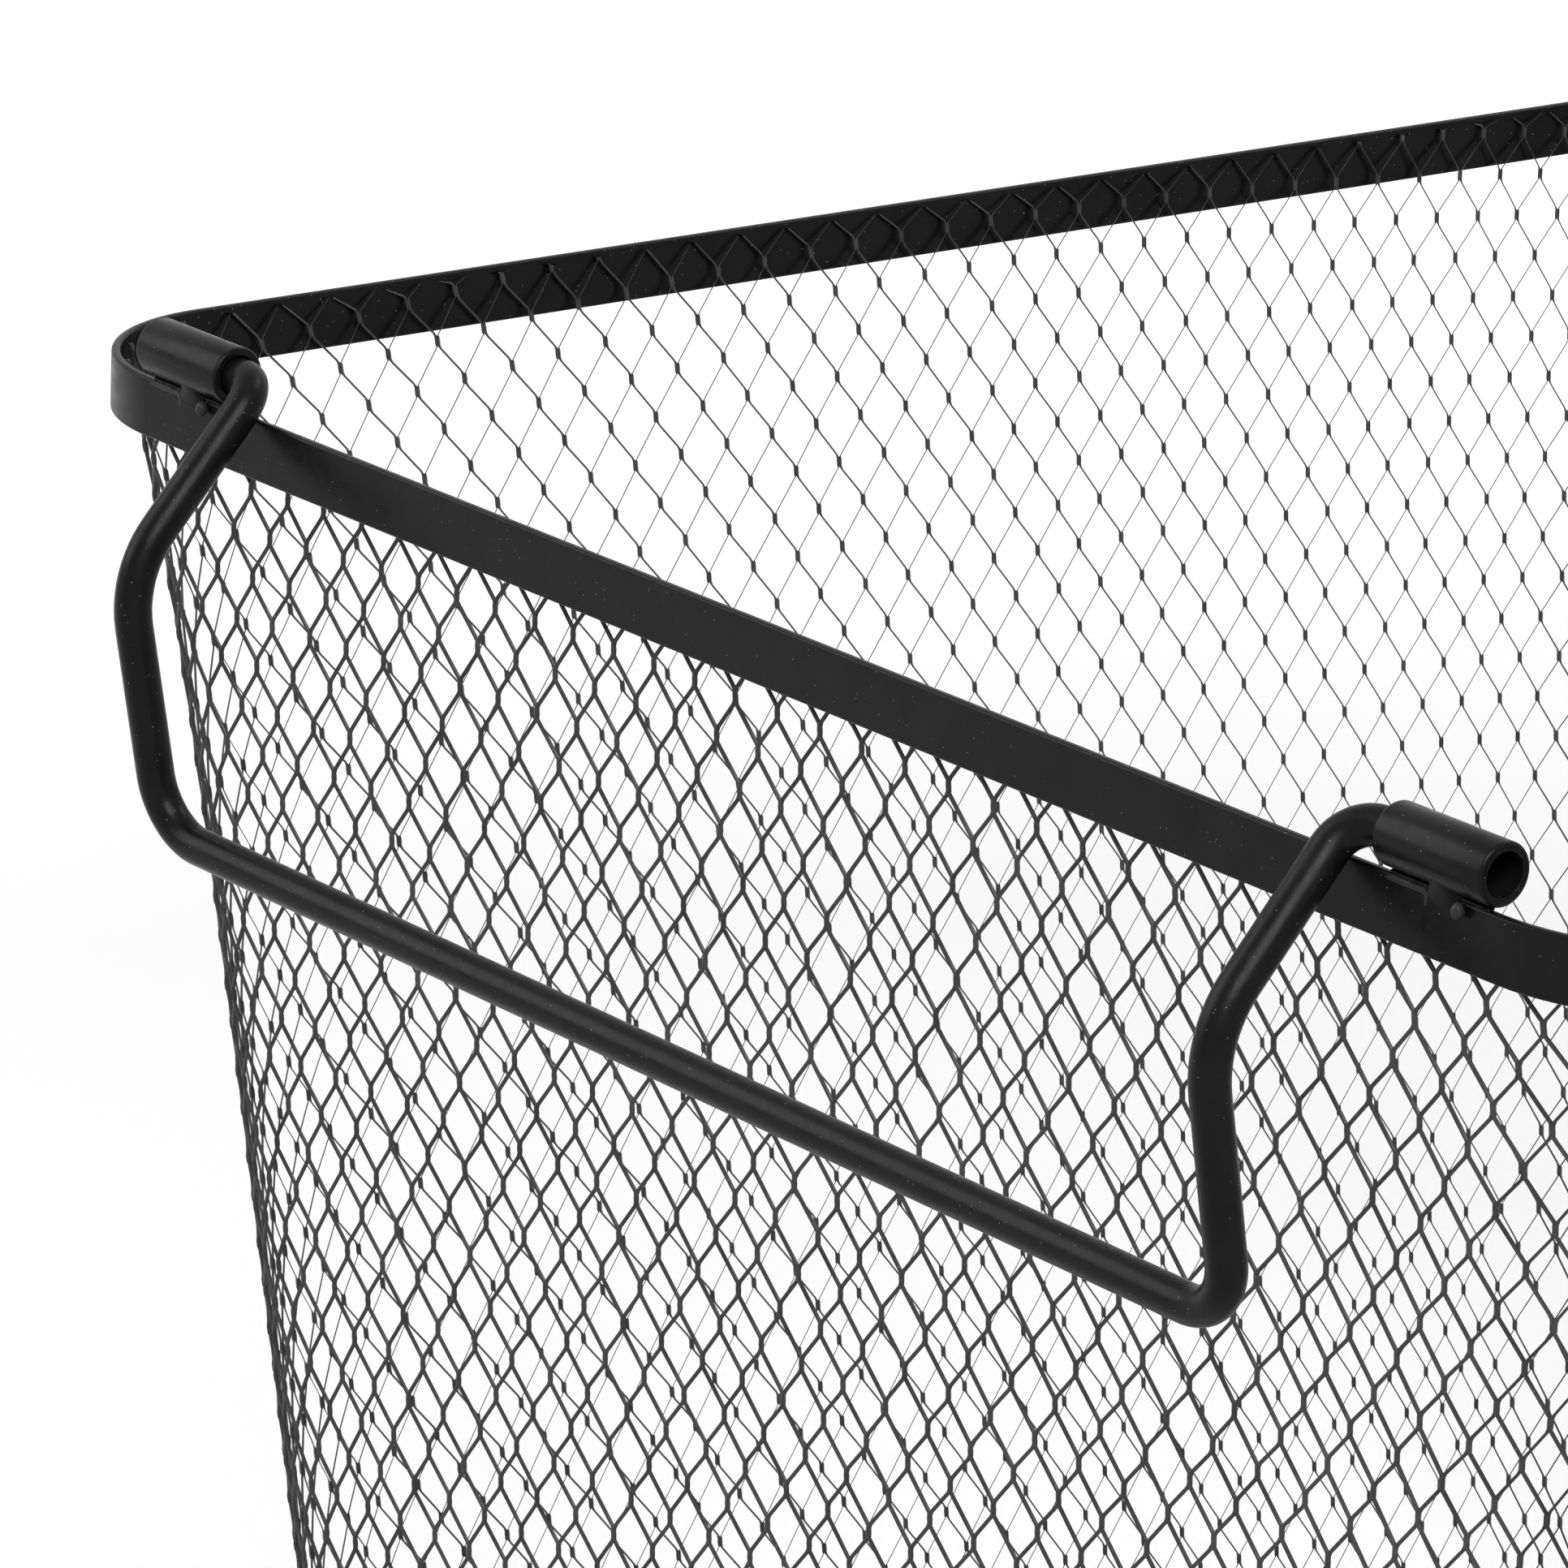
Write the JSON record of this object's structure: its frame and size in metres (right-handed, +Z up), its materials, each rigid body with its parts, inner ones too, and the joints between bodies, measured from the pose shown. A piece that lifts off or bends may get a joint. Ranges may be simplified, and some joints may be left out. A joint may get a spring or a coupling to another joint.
{
  "type": "wire mesh storage basket",
  "caption": "Square open-top storage basket of black coated expanded metal mesh with a flat-bar rim, leaning walls and wire bail handles that swing in short tubes on the rim.",
  "frame": {"origin": "centre of the footprint, on the surface the basket stands on", "axes": "+Z up; X runs along the two walls that carry the handles, which hang on the -Y and +Y sides"},
  "size_m": [0.252, 0.286, 0.2065],
  "materials": {
    "rim_bar": "satin black powder coat on flat steel bar",
    "mesh": "satin black powder coat on expanded steel mesh",
    "base_ring": "satin black powder coat on round steel wire",
    "sleeve": "satin black powder coat on steel tube",
    "weld_bead": "satin black powder coat on a weld bead",
    "handle": "satin black powder coat on round steel wire"
  },
  "bodies": {
    "basket": {"rim_bar": "rim_bar", "mesh_wall_front": "mesh", "mesh_wall_right": "mesh", "mesh_wall_back": "mesh", "mesh_wall_left": "mesh", "mesh_corner_front_right": "mesh", "mesh_corner_back_right": "mesh", "mesh_corner_back_left": "mesh", "mesh_corner_front_left": "mesh", "mesh_base": "mesh", "base_ring": "base_ring", "sleeve_front_left": "sleeve", "weld_bead_front_left": "weld_bead", "sleeve_front_right": "sleeve", "weld_bead_front_right": "weld_bead", "sleeve_back_left": "sleeve", "weld_bead_back_left": "weld_bead", "sleeve_back_right": "sleeve", "weld_bead_back_right": "weld_bead"},
    "front_bail": {"front_handle": "handle"},
    "back_bail": {"back_handle": "handle"}
  },
  "joints": [
    {"name": "front_handle_hinge", "type": "hinge", "parent": "basket", "child": "front_bail", "pos_m": [0, -0.1248, 0.2034], "axis": [-1, 0, 0], "range_deg": [0, 230]},
    {"name": "back_handle_hinge", "type": "hinge", "parent": "basket", "child": "back_bail", "pos_m": [0, 0.1248, 0.2034], "axis": [1, 0, 0], "range_deg": [0, 230]}
  ]
}
